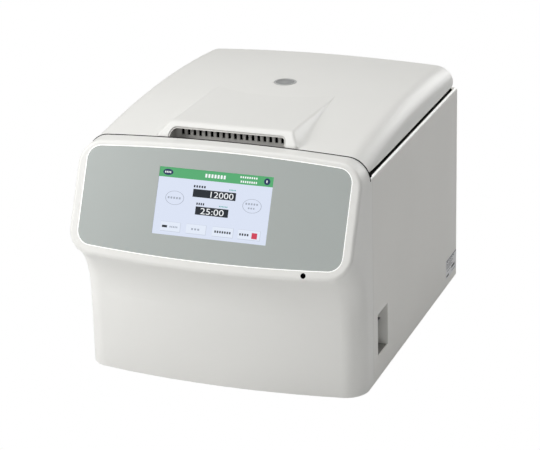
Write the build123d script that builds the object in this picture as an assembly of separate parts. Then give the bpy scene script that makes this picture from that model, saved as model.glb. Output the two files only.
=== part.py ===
from build123d import *
from math import asin, cos, radians, sin, sqrt
import os

os.makedirs("parts", exist_ok=True)

# High-speed benchtop centrifuge: bowed front moulding with an inclined control head,
# sheet steel sides and rear, armoured rotor chamber and a hinged lid.
# Millimetres. +Z up, the front faces -Y, the origin is on the floor under the middle.

# Overall body
body_width = 384.0
side_height = 283.0        # side panels, from the underside of the body
body_reach = 442.0         # rear face, behind the front line
rear_fittings = 3.0        # how far the guard and the inlet stand out of the rear
foot_height = 10.0
foot_radius = 14.0
foot_inset = 42.0          # from the side of the body to the middle of a foot
front_foot_setback = 60.0
rear_foot_setback = 380.0
sheet = 1.5                # steel sheet of the casing
hem = 12.0                 # folded edges of the side panels
hem_round = 2.0
tray_flange = 18.0
panel_gap = 0.4            # seam between front moulding and side panels
fit_gap = 0.3              # general clearance between neighbours
run_gap = 0.05             # radial clearance of shafts and pins
screw_radius = 1.5
head_radius = 5.0
head_height = 2.5
screw_heights = (40.0, 150.0, 260.0)

# Front moulding, set back or ahead of the line through the sharp front corners
front_bow = 17.9
front_corner = 31.0
seam_setback = 45.7
cove_start = 108.0         # height above the underside where the cove begins
moulding_wall = 3.0

# Inclined control face, measured along its slope from the screen's centre
face_tilt = 25.3
screen_ahead = 14.2
screen_rise = 248.3
face_up = 74.0
face_down = 85.0
face_top_arch = 2372.0     # radius of the arched top edge
face_bottom_arch = 2250.0
face_corner = 34.0
face_edge = 5.0

# Control panel overlay and screen
overlay_half = 179.0
overlay_up = 67.6
overlay_down = 72.3
overlay_corner = 19.0
overlay_recess = 1.2
overlay_thickness = 0.9
screen_width = 154.1
screen_height = 85.9
screen_margin = 2.0
overlay_gap = 0.25
glass_thickness = 1.8
display_rim = 4.0
display_depth = 8.0
board_depth = 20.0         # control board, below the face
board_thickness = 1.6
control_board_width = 196.0
control_board_height = 90.0
standoff_radius = 3.0
standoff_inset = 6.0
# Parts on the control board: place across and up, width, length, height
control_chips = ((-60.0, 20.0, 20.0, 20.0, 3.0), (-20.0, -15.0, 34.0, 12.0, 8.0),
                 (30.0, 18.0, 14.0, 14.0, 2.0), (55.0, -18.0, 26.0, 18.0, 6.0),
                 (-62.0, -20.0, 12.0, 24.0, 5.0))
release_hole_radius = 3.5
release_hole_x = 130.9
release_hole_down = 75.0
guide_length = 35.0

# Lid
lid_line_setback = 38.4
lid_gap = 1.5
lid_peak = 329.2           # above the underside
lid_long_radius = 1784.0
lid_cross_radius = 2909.0
shoulder = 30.0
lid_side_inset = 3.0       # the lid's sides stand in from the side panels
lid_edge_gap = 3.0         # between the side panel hem and the lid's lower edge
lid_wall = 3.0
lid_rear_round = 9.0
lid_top_round = 6.0        # along the top edge at the rear
lid_front_round = 2.5      # along the lower front edge
lid_sweep = 18.0           # degrees of the long arc that the dome is cut from
boss_radius = 5.0          # bosses between the shell and its inner plate
boss_x = 160.0
boss_setbacks = (96.0, 386.0)
hinge_radius = 14.0        # round lower rear lip of the lid, on the hinge axis
hinge_setback = 424.0

# Raised tongue of the lid and the finger pocket in its front
tongue_half_low = 109.0     # the sloped flanks, at the hinge's height and at the front top edge
tongue_half_high = 83.5
tongue_start_rise = 316.5  # front lower edge, above the underside
tongue_front_top = 57.0    # setback of the front top edge
tongue_front_rise = 330.6  # above the underside
tongue_end = 235.0
tongue_end_rise = 327.5
tongue_front_round = 16.0
tongue_round = 6.0
tongue_corner = 5.0
pocket_half = 80.0
pocket_floor = 293.0       # above the underside
pocket_top = 326.0
pocket_corner = 9.0
pocket_back = 62.0
handle_wall = 2.0
slot_count = 18
slot_pitch = 8.0
slot_width = 4.0
slot_height = 12.0
slot_low = 311.5

# Sight glass over the rotor
rotor_setback = 260.5
sight_radius = 15.4
sight_bore = 13.0
sight_ledge = 1.5
sight_proud = 0.6
sight_glass_thickness = 4.0

# Chamber
deck_thickness = 2.0
bowl_radius = 130.0
bowl_wall = 1.5
bowl_depth = 138.0
bowl_round = 14.0
bowl_flange = 12.0
gasket_width = 8.0
guard_thickness = 8.0
guard_clearance = 3.0
chassis_thickness = 4.0
shaft_hole = 26.0
inner_plate_thickness = 2.0
liner_gap = 8.0            # between the liner and the bowl's wall
liner_depth = 8.0
plate_margin = 2.5
plate_rear_gap = 20.0      # inner plate to hinge axis
boot_height = 3.5
boot_lap = 8.0
boot_gap = 1.0
chassis_half = 150.0
chassis_corner = 12.0
leg_spread = 132.0
leg_radius = 8.0

# Rotor
rotor_radius = 102.0
rotor_height = 94.0
rotor_floor_gap = 16.0
bore_count = 6
bore_radius = 14.75
bore_pitch_radius = 47.0
bore_tilt = 23.0
bore_depth = 84.0
shaft_radius = 8.0
nut_radius = 17.0
nut_height = 24.0
nut_seat = 80.0            # above the rotor's foot
nut_thread = 5.0
nut_flutes = 12
rotor_lip = 61.0           # inner edge of the rotor's top rim
rotor_dish = 30.0
rotor_dish_height = 82.0

# Motor
motor_radius = 58.0
motor_height = 84.0
motor_wall = 4.0
motor_flange_half = 72.0
motor_flange_thickness = 5.0
mount_radius = 11.0
mount_height = 14.0
mount_pitch = 60.0
bearing_outer = 17.5
bearing_height = 10.0
motor_fins = 24
magnet_radius = 31.0
core_gap = 6.0             # from the bearings to the stator's ends
shoulder_height = 6.0      # the spindle's shoulder under the rotor
shoulder_reach = 5.0
air_gap = 1.0

# Power switch in the right side
recess_setback = 85.4
recess_width = 42.8
recess_low = 31.0
recess_tall = 59.0
switch_rise = 3.5          # of the switch, above the recess's middle
recess_depth = 15.0
recess_wall = 2.0
recess_lip = 4.0
rocker_width = 16.0
rocker_tall = 27.0
switch_rim = 3.0
switch_rim_height = 2.0
switch_body_depth = 24.0
rocker_pit = 12.0
rocker_axle = 1.5
rocker_angle = 12.0
rocker_crest = 9.2         # of its two ends, ahead of the axle
rocker_middle = 6.4

# Latch
latch_x = 118.0
latch_setback = 74.0
latch_drop = 34.0          # shaft below the deck
latch_shaft_radius = 4.0
latch_angle = 30.0
hook_thickness = 6.0
striker_bar = 3.0
hook_reach = 8.0           # middle of the hook's stem, ahead of the shaft
hook_bar = 6.0
hook_under = 19.4          # underside of the beak, above the shaft
hook_rise = 25.0
bail_rise = 16.0           # striker bar, above the shaft
bail_half = 8.0
slot_across = 22.0
slot_along = 16.0
bearing_step = 16.0
bracket_half = 12.0
gearbox_length = 26.0
gearbox_half = 15.0
gearbox_nose = 4.0
gearbox_nose_radius = 12.0
release_rod = 2.5
release_lever = 26.0
rod_bend = 8.0
rod_guide_setback = 58.0

# Hinges
hinge_x = 140.0
notch_half = 18.0
ear_spread = 6.0
ear_thickness = 6.0
ear_radius = 8.0
pin_radius = 4.0
barrel_length = 30.0
barrel_radius = 7.0
arm_length = 45.0
bracket_base = 3.0
bracket_reach = 12.0

# Cooling fan, inlet and electronics
fan_size = 92.0
fan_depth = 25.0
fan_x = -96.0
fan_rise = 74.0
fan_hole = 44.0
fan_hub = 18.0
fan_blades = 7
guard_wire = 1.2
guard_rings = (12.0, 22.0, 32.0, 42.0)
guard_reach = 46.0
inlet_x = 118.0
inlet_rise = 48.0
inlet_width = 27.5
inlet_height = 48.0
inlet_depth = 24.0
socket_depth = 17.0
drawer_depth = 20.0
drawer_width = 22.0
vent_x = 60.0
vent_rise = 170.0
vent_rows = 2
vent_count = 14
vent_pitch = 8.0
vent_tall = 40.0
vent_width = 4.0
supply_height = 50.0
supply_width = 120.0
supply_inset = 54.0        # from the left side of the body
supply_setbacks = (8.0, 98.0)
drive_board_inset = 32.0   # from the right side of the body
drive_board_setbacks = (5.0, 100.0)
supply_gap = 28.0          # between the supply and the drive board
board_rise = 8.0           # drive board above the tray
sink_pitch = 9.0
sink_fin = 2.0
sink_base = 6.0
sink_margin = 8.0          # from the board's left edge
sink_height = 48.0
sink_deep = 22.0
can_radius = 13.0
can_height = 42.0
can_count = 3
can_setback = 20.0         # first capacitor, from the board's front edge
can_pitch = 29.0
# Parts on the drive board: place from its front left corner, width, depth, height
drive_parts = ((26.0, 25.0, 24.0, 18.0, 12.0), (56.0, 28.0, 30.0, 20.0, 14.0),
               (26.0, 55.0, 18.0, 14.0, 8.0), (56.0, 54.0, 12.0, 14.0, 10.0))
post = 12.0                # square frame posts

# Blank plate on the right side panel
plate_setback = 386.0
plate_length = 53.5
plate_rise = 11.5
plate_tall = 28.5
plate_thickness = 0.3

# Derived places
tilt = radians(face_tilt)
half_width = body_width / 2
underside = foot_height
head_reach = (screen_ahead + face_down * sin(tilt)
              - face_edge * (cos(tilt) + sin(tilt) - 1))
front_y = (head_reach - body_reach - rear_fittings) / 2
seam_y = front_y + seam_setback
rear_y = front_y + body_reach
lid_line_y = front_y + lid_line_setback
rotor_y = front_y + rotor_setback
hinge_y = front_y + hinge_setback
panel_top = underside + side_height
deck_top = panel_top - sheet
deck_low = deck_top - deck_thickness
lid_low = panel_top + lid_edge_gap
hinge_z = lid_low + hinge_radius
lid_peak_z = underside + lid_peak
lid_half = half_width - lid_side_inset
tray_top = underside + sheet
screen_y = front_y - screen_ahead
screen_z = underside + screen_rise
bow_radius = (half_width ** 2 + front_bow ** 2) / (2 * front_bow)
far = 2 * body_width

head_back = lid_line_y - lid_gap / 2
lid_front = lid_line_y + lid_gap / 2
deck_front = head_back - 2 * moulding_wall
casing_back = rear_y - 2 * sheet
screw_x = half_width - hem / 2
glass_width = screen_width + 2 * screen_margin
glass_height = screen_height + 2 * screen_margin
module_width = glass_width + 2 * display_rim
module_height = glass_height + 2 * display_rim
module_back = moulding_wall + display_depth
foot_places = [(side * (half_width - foot_inset), front_y + setback)
               for side in (-1, 1) for setback in (front_foot_setback, rear_foot_setback)]

tongue_start_z = underside + tongue_start_rise
tongue_top_y = front_y + tongue_front_top
tongue_top_z = underside + tongue_front_rise
tongue_end_y = front_y + tongue_end
tongue_end_z = underside + tongue_end_rise
pocket_low_z = underside + pocket_floor
pocket_top_z = underside + pocket_top
pocket_back_y = front_y + pocket_back
slot_low_z = underside + slot_low
inner_plate_low = lid_low + lid_wall
inner_plate_top = inner_plate_low + inner_plate_thickness

bowl_low = deck_top - bowl_depth
liner_radius = bowl_radius - liner_gap
guard_inner = bowl_radius + bowl_wall + guard_clearance
chassis_top = bowl_low - bowl_wall - 2
flange_top = chassis_top - chassis_thickness - mount_height
flange_low = flange_top - motor_flange_thickness
motor_low = flange_low - motor_height
shaft_shoulder = bowl_low + rotor_floor_gap
nut_low = shaft_shoulder + nut_seat
dish_slope = (rotor_height - rotor_dish_height) / (rotor_lip - rotor_dish)
bore_mouth = rotor_dish_height + (bore_pitch_radius - rotor_dish) * dish_slope

recess_y = front_y + recess_setback
recess_z = underside + recess_low + recess_tall / 2
switch_z = recess_z + switch_rise
recess_floor_x = half_width - recess_depth
rocker_x = recess_floor_x - switch_rim_height

latch_y = front_y + latch_setback
shaft_z = deck_low - latch_drop
bail_z = shaft_z + bail_rise
hole_y = screen_y - release_hole_down * sin(tilt) + moulding_wall * cos(tilt)
hole_z = screen_z - release_hole_down * cos(tilt) - moulding_wall * sin(tilt)
lever_swing = radians(latch_angle / 2)
rod_z = shaft_z - release_lever * cos(lever_swing)
rod_front_y = hole_y + guide_length / 2
rod_back_y = latch_y + release_rod

fan_z = underside + fan_rise
inlet_z = underside + inlet_rise
vent_z = underside + vent_rise
drive_board_z = tray_top + board_rise
supply_x = supply_inset - half_width
supply_box = (supply_x, supply_x + supply_width, front_y + supply_setbacks[0], front_y + supply_setbacks[1])
drive_board_box = (supply_x + supply_width + supply_gap, half_width - drive_board_inset,
                   front_y + drive_board_setbacks[0], front_y + drive_board_setbacks[1])

# Where the cove meets the lip of the inclined face
lip_y = screen_y - face_down * sin(tilt)
lip_z = screen_z - face_down * cos(tilt)
cove_z = underside + cove_start
cove_rise = lip_z - cove_z
cove_reach = front_y - front_bow - lip_y
cove_radius = (cove_reach ** 2 + cove_rise ** 2) / (2 * cove_reach)
cove_centre_y = front_y - front_bow - cove_radius
cove_end = asin(cove_rise / cove_radius)

# Frame of the inclined face: local x along +X, local y up the slope, local z outward
face_plane = Plane(origin=(0, screen_y, screen_z), x_dir=(1, 0, 0), z_dir=(0, -cos(tilt), sin(tilt)))

made = {}


def keep(name, shape):
    solids = shape.solids()
    made[name] = solids[0] if len(solids) == 1 else Compound(children=list(solids))


def box(x0, x1, y0, y1, z0, z1):
    return Pos((x0 + x1) / 2, (y0 + y1) / 2, (z0 + z1) / 2) * Box(abs(x1 - x0), abs(y1 - y0), abs(z1 - z0))


def block(x, y, z, width, depth, height):
    return Pos(x, y, z) * Box(width, depth, height)


def rod(x, y, z0, z1, r):
    return Pos(x, y, (z0 + z1) / 2) * Cylinder(r, z1 - z0)


def rod_x(x0, x1, y, z, r):
    return Pos((x0 + x1) / 2, y, z) * Rot(0, 90, 0) * Cylinder(r, abs(x1 - x0))


def rod_y(x, y0, y1, z, r):
    return Pos(x, (y0 + y1) / 2, z) * Rot(90, 0, 0) * Cylinder(r, abs(y1 - y0))


def ring(x, y, z0, z1, outer, inner):
    return rod(x, y, z0, z1, outer) - rod(x, y, z0 - 1, z1 + 1, inner)


def joined(solids):
    whole = solids[0]
    for solid in solids[1:]:
        whole += solid
    return whole


# A face in the YZ plane, extruded to both sides of X = 0
def along_x(points, half):
    face = make_face(Polyline(*[(0, y, z) for y, z in points], close=True))
    return extrude(face, amount=half, dir=(1, 0, 0), both=True)


# A face in the XZ plane, extruded from y0 to y1
def along_y(outline, y0, y1):
    plane = Plane(origin=(0, y1, 0), x_dir=(1, 0, 0), z_dir=(0, -1, 0))
    return extrude(plane * outline, amount=y1 - y0)


# A U shaped outline: bowed lower edge, two round corners, straight sides, flat closing edge.
# Local y runs from the lowest point of the bow towards the closing edge.
def bowed_outline(half, radius, corner, length):
    outline = Pos(0, radius) * Circle(radius) & Pos(0, length / 2) * Rectangle(2 * half, length)
    lowest = outline.vertices().sort_by(Axis.Y)[:2]
    return fillet(lowest, corner)


# The cove and head are a run of outlines that tip from level to the slope of the face
def head_sections(inset):
    steps = 7
    sections = []
    for step in range(steps + 1):
        share = step / steps
        turn = cove_end * share
        slope = radians(90 - face_tilt) * share
        y = cove_centre_y + (cove_radius + inset) * cos(turn)
        z = cove_z + (cove_radius + inset) * sin(turn)
        if step == steps:
            y = lip_y + inset * (cos(tilt) + sin(tilt))
            z = lip_z + inset * (cos(tilt) - sin(tilt))
        curve = (1 - share) / (bow_radius - inset) + share / (face_bottom_arch - inset)
        corner = (1 - share) * front_corner + share * face_corner - inset
        length = (seam_y + inset - y) / cos(slope)
        plane = Plane(origin=(0, y, z), x_dir=(1, 0, 0), z_dir=(0, -sin(slope), cos(slope)))
        sections.append(plane * bowed_outline(half_width - inset, 1 / curve, corner, length))
    return sections


def crown_height(y):
    return lid_peak_z - (y - rotor_y) ** 2 / (2 * lid_long_radius)


# Rounded top of head and lid, seen from the front: a crown arc between two shoulders
def crown_outline(inset, peak, low, side, turn):
    half = side - inset
    height = peak - inset - low
    outline = (Pos(0, peak - lid_cross_radius) * Circle(lid_cross_radius - inset)
               & Pos(0, low + height / 2) * Rectangle(2 * half, height + 0.001))
    highest = outline.vertices().sort_by(Axis.Y)[-2:]
    return fillet(highest, turn - inset)


def face_outline(inset, drop):
    height = face_up - inset + drop
    outline = (Pos(0, face_up - face_top_arch) * Circle(face_top_arch - inset)
               & Pos(0, face_up - inset - height / 2) * Rectangle(2 * (half_width - inset), height))
    highest = outline.vertices().sort_by(Axis.Y)[-2:]
    return fillet(highest, face_corner - inset)


# The top of the head runs straight from the arched face to the front of the lid
def head_envelope(inset):
    back = lid_line_y + 3 * moulding_wall
    drop = screen_z / cos(tilt) + face_up
    near = face_plane.offset(-inset) * face_outline(inset, drop)
    upright = Plane(origin=(0, back, 0), x_dir=(1, 0, 0), z_dir=(0, -1, 0))
    rear = upright * crown_outline(inset, crown_height(lid_line_y), -screen_z, half_width, shoulder)
    return loft([near.face(), rear.face()], ruled=True)


def front_body(inset):
    low = underside - inset / 2
    plan = Plane(origin=(0, front_y - front_bow + inset, low), x_dir=(1, 0, 0), z_dir=(0, 0, 1))
    length = seam_setback + front_bow
    outline = bowed_outline(half_width - inset, bow_radius - inset, front_corner - inset, length)
    lower = extrude(plan * outline, amount=cove_z - low)
    head = loft([section.face() for section in head_sections(inset)])
    return lower + (head & head_envelope(inset))


# Arched outline of the control panel, in the inclined face
def panel_outline(inset):
    top = face_top_arch - (face_up - overlay_up)
    low = face_bottom_arch - (face_down - overlay_down)
    outline = (Pos(0, overlay_up - top) * Circle(top - inset)
               & Pos(0, low - overlay_down) * Circle(low - inset)
               & Rectangle(2 * (overlay_half - inset), 2 * face_down))
    return fillet(outline.vertices(), overlay_corner - inset)


# Material between two depths below the inclined face
def on_face(outline, top_depth, low_depth):
    return extrude(face_plane.offset(-low_depth) * outline, amount=low_depth - top_depth)


def front_cover():
    outer = front_body(0)
    outer -= box(-far, far, head_back, far, panel_top, far)
    outward = face_plane.z_dir
    face = [side for side in outer.faces() if side.normal_at().dot(outward) > 0.999].pop()
    outer = fillet(face.outer_wire().edges(), face_edge)
    inner = front_body(moulding_wall)
    inner -= box(-far, far, head_back - moulding_wall, far, deck_top, far)
    cover = outer - inner
    cover -= on_face(panel_outline(0), -face_edge, overlay_recess)
    cover -= on_face(Rectangle(glass_width + fit_gap, glass_height + fit_gap), 0, moulding_wall + 1)
    hole = Pos(release_hole_x, -release_hole_down) * Circle(release_hole_radius)
    cover -= on_face(hole, -1, moulding_wall + 2)
    boss = rod_y(release_hole_x, hole_y, hole_y + guide_length, hole_z, 2 * release_rod) & inner
    bore = rod_y(release_hole_x, hole_y - 1, hole_y + guide_length + 1, hole_z, release_rod + fit_gap)
    keep("front_cover", cover + boss - bore)


def control_panel():
    window = Rectangle(screen_width, screen_height)
    outline = panel_outline(overlay_gap) - window
    keep("control_panel_overlay", on_face(outline, overlay_recess - overlay_thickness, overlay_recess))
    glass = Rectangle(glass_width, glass_height)
    keep("touch_screen", on_face(glass, overlay_recess, overlay_recess + glass_thickness))
    module = Rectangle(module_width, module_height)
    keep("display_module", on_face(module, moulding_wall, module_back))
    board = Rectangle(control_board_width, control_board_height)
    plate = on_face(board, board_depth, board_depth + board_thickness)
    parts = [plate]
    for across, up, wide, tall, high in control_chips:
        chip = Pos(across, up) * Rectangle(wide, tall)
        parts.append(on_face(chip, board_depth - high, board_depth))
    keep("control_board", joined(parts))


def board_standoffs():
    posts = []
    for across in (-1, 1):
        for up in (-1, 1):
            x = across * (module_width / 2 - standoff_inset)
            y = up * (control_board_height / 2 - standoff_inset)
            posts.append(on_face(Pos(x, y) * Circle(standoff_radius), module_back, board_depth))
    x0, x1, y0, y1 = drive_board_box
    for x in (x0 + standoff_inset, x1 - standoff_inset):
        for y in (y0 + standoff_inset, y1 - standoff_inset):
            posts.append(rod(x, y, tray_top, drive_board_z, standoff_radius))
    keep("board_standoffs", Compound(children=posts))


# Steel casing
def base_tray():
    edge = moulding_wall + fit_gap
    plan = Plane(origin=(0, front_y - front_bow + edge, underside), x_dir=(1, 0, 0), z_dir=(0, 0, 1))
    length = seam_setback + front_bow
    outline = bowed_outline(half_width - edge, bow_radius - edge, front_corner - edge, length)
    tray = extrude(plan * outline, amount=sheet)
    inside = half_width - sheet
    tray += box(-inside, inside, seam_y + panel_gap, casing_back, underside, tray_top)
    for side in (-1, 1):
        tray += box(side * inside, side * (inside - sheet), seam_y + panel_gap, casing_back,
                    underside, tray_top + tray_flange)
    for x, y in foot_places:
        tray -= rod(x, y, 0, far, screw_radius + fit_gap)
    keep("base_tray", tray)


def side_panel(side):
    inner_x = side * (half_width - hem)
    outer = box(inner_x, side * half_width, seam_y + panel_gap, rear_y, underside, panel_top)
    outside = outer.faces().sort_by(Axis.X)[-1 if side > 0 else 0]
    edges = outside.edges().sort_by(Axis.Z)[1:].sort_by(Axis.Y)[1:]
    panel = fillet(edges, hem_round)
    panel -= box(inner_x - side, side * (half_width - sheet), seam_y - 1, rear_y - sheet, underside - 1,
                 deck_top)
    for z in screw_heights:
        panel -= rod_y(side * screw_x, rear_y - 2 * sheet, rear_y + 1, z, screw_radius + fit_gap)
    return panel


def side_panels():
    keep("left_side_panel", side_panel(-1))
    right = side_panel(1)
    right -= block(half_width, recess_y, recess_z, 4 * sheet, recess_width, recess_tall)
    keep("right_side_panel", right)


def rear_panel():
    inside = half_width - sheet
    panel = box(-inside, inside, casing_back, rear_y - sheet, underside, deck_top)
    panel -= rod_y(fan_x, casing_back - 1, rear_y, fan_z, fan_hole)
    panel -= block(inlet_x, rear_y, inlet_z, inlet_width + fit_gap, 4 * sheet, inlet_height + fit_gap)
    for side in (-1, 1):
        for z in screw_heights:
            panel -= rod_y(side * screw_x, casing_back - 1, rear_y, z, screw_radius + fit_gap)
    for row in range(vent_rows):
        for place in range(vent_count):
            x = vent_x + (place - (vent_count - 1) / 2) * vent_pitch
            z = vent_z + row * (vent_tall + vent_pitch / 2)
            panel -= block(x, rear_y, z, vent_width, 4 * sheet, vent_tall)
    keep("rear_panel", panel)


def frame_posts():
    posts = []
    for side in (-1, 1):
        for y in (seam_y + post / 2 + 2 * panel_gap, casing_back - post):
            x = side * (half_width - 2 * sheet - post / 2)
            tube = block(x, y, (tray_top + deck_low) / 2, post, post, deck_low - tray_top)
            posts.append(tube - block(x, y, deck_low / 2, post - 2 * sheet, post - 2 * sheet, far))
    keep("frame_posts", Compound(children=posts))


def top_deck():
    reach = half_width - moulding_wall - fit_gap
    deck = box(-reach, reach, deck_front, casing_back, deck_low, deck_top)
    deck -= rod(0, rotor_y, 0, far, bowl_radius + bowl_wall + fit_gap)
    for side in (-1, 1):
        deck -= block(side * latch_x, latch_y, deck_low, slot_across, slot_along, 4 * deck_thickness)
    keep("top_deck", deck)


# Chamber
def chamber():
    outer = rod(0, rotor_y, bowl_low - bowl_wall, deck_top, bowl_radius + bowl_wall)
    inner = rod(0, rotor_y, bowl_low, deck_top + 2 * bowl_wall, bowl_radius)
    outer = fillet(outer.faces().sort_by(Axis.Z)[0].edges(), bowl_round + bowl_wall)
    outer += rod(0, rotor_y, deck_top, deck_top + bowl_wall, bowl_radius + bowl_flange)
    inner = fillet(inner.faces().sort_by(Axis.Z)[0].edges(), bowl_round)
    bowl = outer - inner - rod(0, rotor_y, 0, far, shaft_hole)
    keep("chamber_bowl", bowl)
    inner_radius = bowl_radius + (bowl_flange - gasket_width) / 2
    outer_radius = inner_radius + gasket_width
    gasket = ring(0, rotor_y, deck_top + bowl_wall, inner_plate_low - fit_gap, outer_radius, inner_radius)
    keep("chamber_gasket", fillet(gasket.faces().sort_by(Axis.Z)[-1].edges(), gasket_width / 4))
    guard = ring(0, rotor_y, chassis_top, deck_low, guard_inner + guard_thickness, guard_inner)
    keep("guard_ring", guard)
    boot = ring(0, rotor_y, bowl_low, bowl_low + boot_height, shaft_hole + boot_lap, shaft_radius + boot_gap)
    keep("shaft_boot", fillet(boot.faces().sort_by(Axis.Z)[-1].edges(), boot_height / 4))


def chassis():
    low = chassis_top - chassis_thickness
    plate = box(-chassis_half, chassis_half, rotor_y - chassis_half, rotor_y + chassis_half, low, chassis_top)
    plate = fillet(plate.edges().filter_by(Axis.Z), chassis_corner)
    plate -= rod(0, rotor_y, 0, far, shaft_hole)
    keep("chassis_plate", plate)
    legs = []
    for x in (-1, 1):
        for y in (-1, 1):
            legs.append(rod(x * leg_spread, rotor_y + y * leg_spread, tray_top, low, leg_radius))
    keep("chassis_legs", Compound(children=legs))


# Motor, hung from the chassis plate on rubber mounts
def motor():
    mounts = []
    for x in (-1, 1):
        for y in (-1, 1):
            mount = rod(x * mount_pitch, rotor_y + y * mount_pitch, flange_top, flange_top + mount_height,
                        mount_radius)
            waist = [edge for edge in mount.edges() if edge.geom_type == GeomType.CIRCLE]
            mounts.append(chamfer(waist, 1.5))
    keep("motor_mounts", Compound(children=mounts))
    flange = block(0, rotor_y, (flange_top + flange_low) / 2, 2 * motor_flange_half, 2 * motor_flange_half,
                   motor_flange_thickness)
    flange = fillet(flange.edges().filter_by(Axis.Z), mount_radius)
    can = rod(0, rotor_y, motor_low, flange_low, motor_radius)
    can -= rod(0, rotor_y, motor_low + motor_wall, flange_low, motor_radius - motor_wall)
    for fin in range(motor_fins):
        turn = Rot(0, 0, fin * 360 / motor_fins)
        rib = Pos(motor_radius + 1.5, 0, 0) * Box(4, 2, motor_height - 12)
        can += Pos(0, rotor_y, (motor_low + flange_low) / 2) * turn * rib
    seat = bearing_outer + run_gap
    floor = motor_low + motor_wall
    lower = ring(0, rotor_y, floor - 1, floor + bearing_height, seat + motor_wall, seat)
    upper = ring(0, rotor_y, flange_low - bearing_height, flange_low + 1, seat + motor_wall, seat)
    housing = can + flange + lower + upper
    housing -= rod(0, rotor_y, flange_low - 1, flange_top + 1, shaft_radius + 2)
    keep("motor_housing", housing)
    bearings = []
    for low in (floor, flange_low - bearing_height):
        bearings.append(ring(0, rotor_y, low, low + bearing_height, bearing_outer, shaft_radius + run_gap))
    keep("motor_bearings", Compound(children=bearings))
    core_low = floor + bearing_height + core_gap
    core_high = flange_low - bearing_height - core_gap
    stator = ring(0, rotor_y, core_low, core_high, motor_radius - motor_wall, magnet_radius + air_gap)
    keep("motor_stator", stator)
    keep("motor_magnet", ring(0, rotor_y, core_low, core_high, magnet_radius, shaft_radius))
    shaft = rod(0, rotor_y, floor + 1, shaft_shoulder, shaft_radius)
    shaft += rod(0, rotor_y, shaft_shoulder - shoulder_height, shaft_shoulder, shaft_radius + shoulder_reach)
    shaft += rod(0, rotor_y, shaft_shoulder, nut_low, shaft_radius)
    shaft += rod(0, rotor_y, nut_low, nut_low + nut_height - 6, nut_thread)
    keep("motor_shaft", shaft)


# Fixed-angle rotor with slanted tube bores
def rotor():
    profile = [(60, 0), (92, 6), (rotor_radius, 14), (rotor_radius, 34), (72, 90), (67, rotor_height),
               (rotor_lip, rotor_height), (rotor_dish, rotor_dish_height), (24, nut_seat), (0, nut_seat),
               (0, 0)]
    face = make_face(Polyline(*[(r, 0, shaft_shoulder + z) for r, z in profile], close=True))
    body = Pos(0, rotor_y, 0) * revolve(face, Axis.Z)
    cutter = Pos(0, 0, -bore_depth) * Cylinder(bore_radius, bore_depth + 30,
                                              align=(Align.CENTER, Align.CENTER, Align.MIN))
    cutter = fillet(cutter.faces().sort_by(Axis.Z)[0].edges(), bore_radius / 2)
    for place in range(bore_count):
        spot = Pos(0, rotor_y, shaft_shoulder + bore_mouth) * Rot(0, 0, place * 360 / bore_count)
        body -= spot * Pos(bore_pitch_radius, 0, 0) * Rot(0, -bore_tilt, 0) * cutter
    body -= rod(0, rotor_y, 0, far, shaft_radius + run_gap)
    keep("rotor_body", body)
    nut = rod(0, rotor_y, nut_low, nut_low + nut_height, nut_radius)
    nut = fillet(nut.faces().sort_by(Axis.Z)[-1].edges(), 3)
    for flute in range(nut_flutes):
        turn = Rot(0, 0, flute * 360 / nut_flutes)
        nut -= Pos(0, rotor_y, 0) * turn * rod(nut_radius + 1.5, 0, nut_low + 6, far, 3)
    nut -= rod(0, rotor_y, nut_low - 1, nut_low + nut_height - 5, nut_thread + run_gap)
    keep("rotor_nut", nut)


# Lid: one long arc from front to rear, a flatter arc across, and round shoulders.
# Its rear lower lip is round about the hinge axis, so that it turns freely over the deck.
def lid_dome(inset):
    outline = crown_outline(inset, lid_peak_z, lid_low - 2 * shoulder, lid_half, shoulder - lid_side_inset)
    upright = Plane(origin=(0, rotor_y, 0), x_dir=(1, 0, 0), z_dir=(0, -1, 0))
    axle = Axis((0, rotor_y, lid_peak_z - lid_long_radius), (1, 0, 0))
    start = (upright * outline).face().rotate(axle, -lid_sweep / 2)
    dome = revolve(start, axle, revolution_arc=lid_sweep)
    low = lid_low if inset == 0 else lid_low - hinge_radius
    lip = hinge_radius - inset
    front = lid_front + inset
    side = box(-far, far, front, hinge_y, low, far)
    side += box(-far, far, hinge_y, hinge_y + lip, hinge_z, far)
    side += rod_x(-far, far, hinge_y, hinge_z, lip)
    body = dome & side
    if inset == 0:
        rear = body.faces().sort_by(Axis.Y)[-1]
        body = fillet([edge for edge in rear.edges() if edge.center().Z > hinge_z + 1], lid_top_round)
        lower = [edge for edge in body.edges() if edge.center().Y < front + 0.01]
        body = fillet(ShapeList(lower).sort_by(Axis.Z)[:1], lid_front_round)
    corner_y = hinge_y + hinge_radius - lid_rear_round
    for edge in (-1, 1):
        corner_x = edge * (lid_half - lid_rear_round)
        corner = box(corner_x, edge * far, corner_y, far, 0, far)
        body -= corner - rod(corner_x, corner_y, -1, far + 1, lid_rear_round - inset)
    return body


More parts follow.
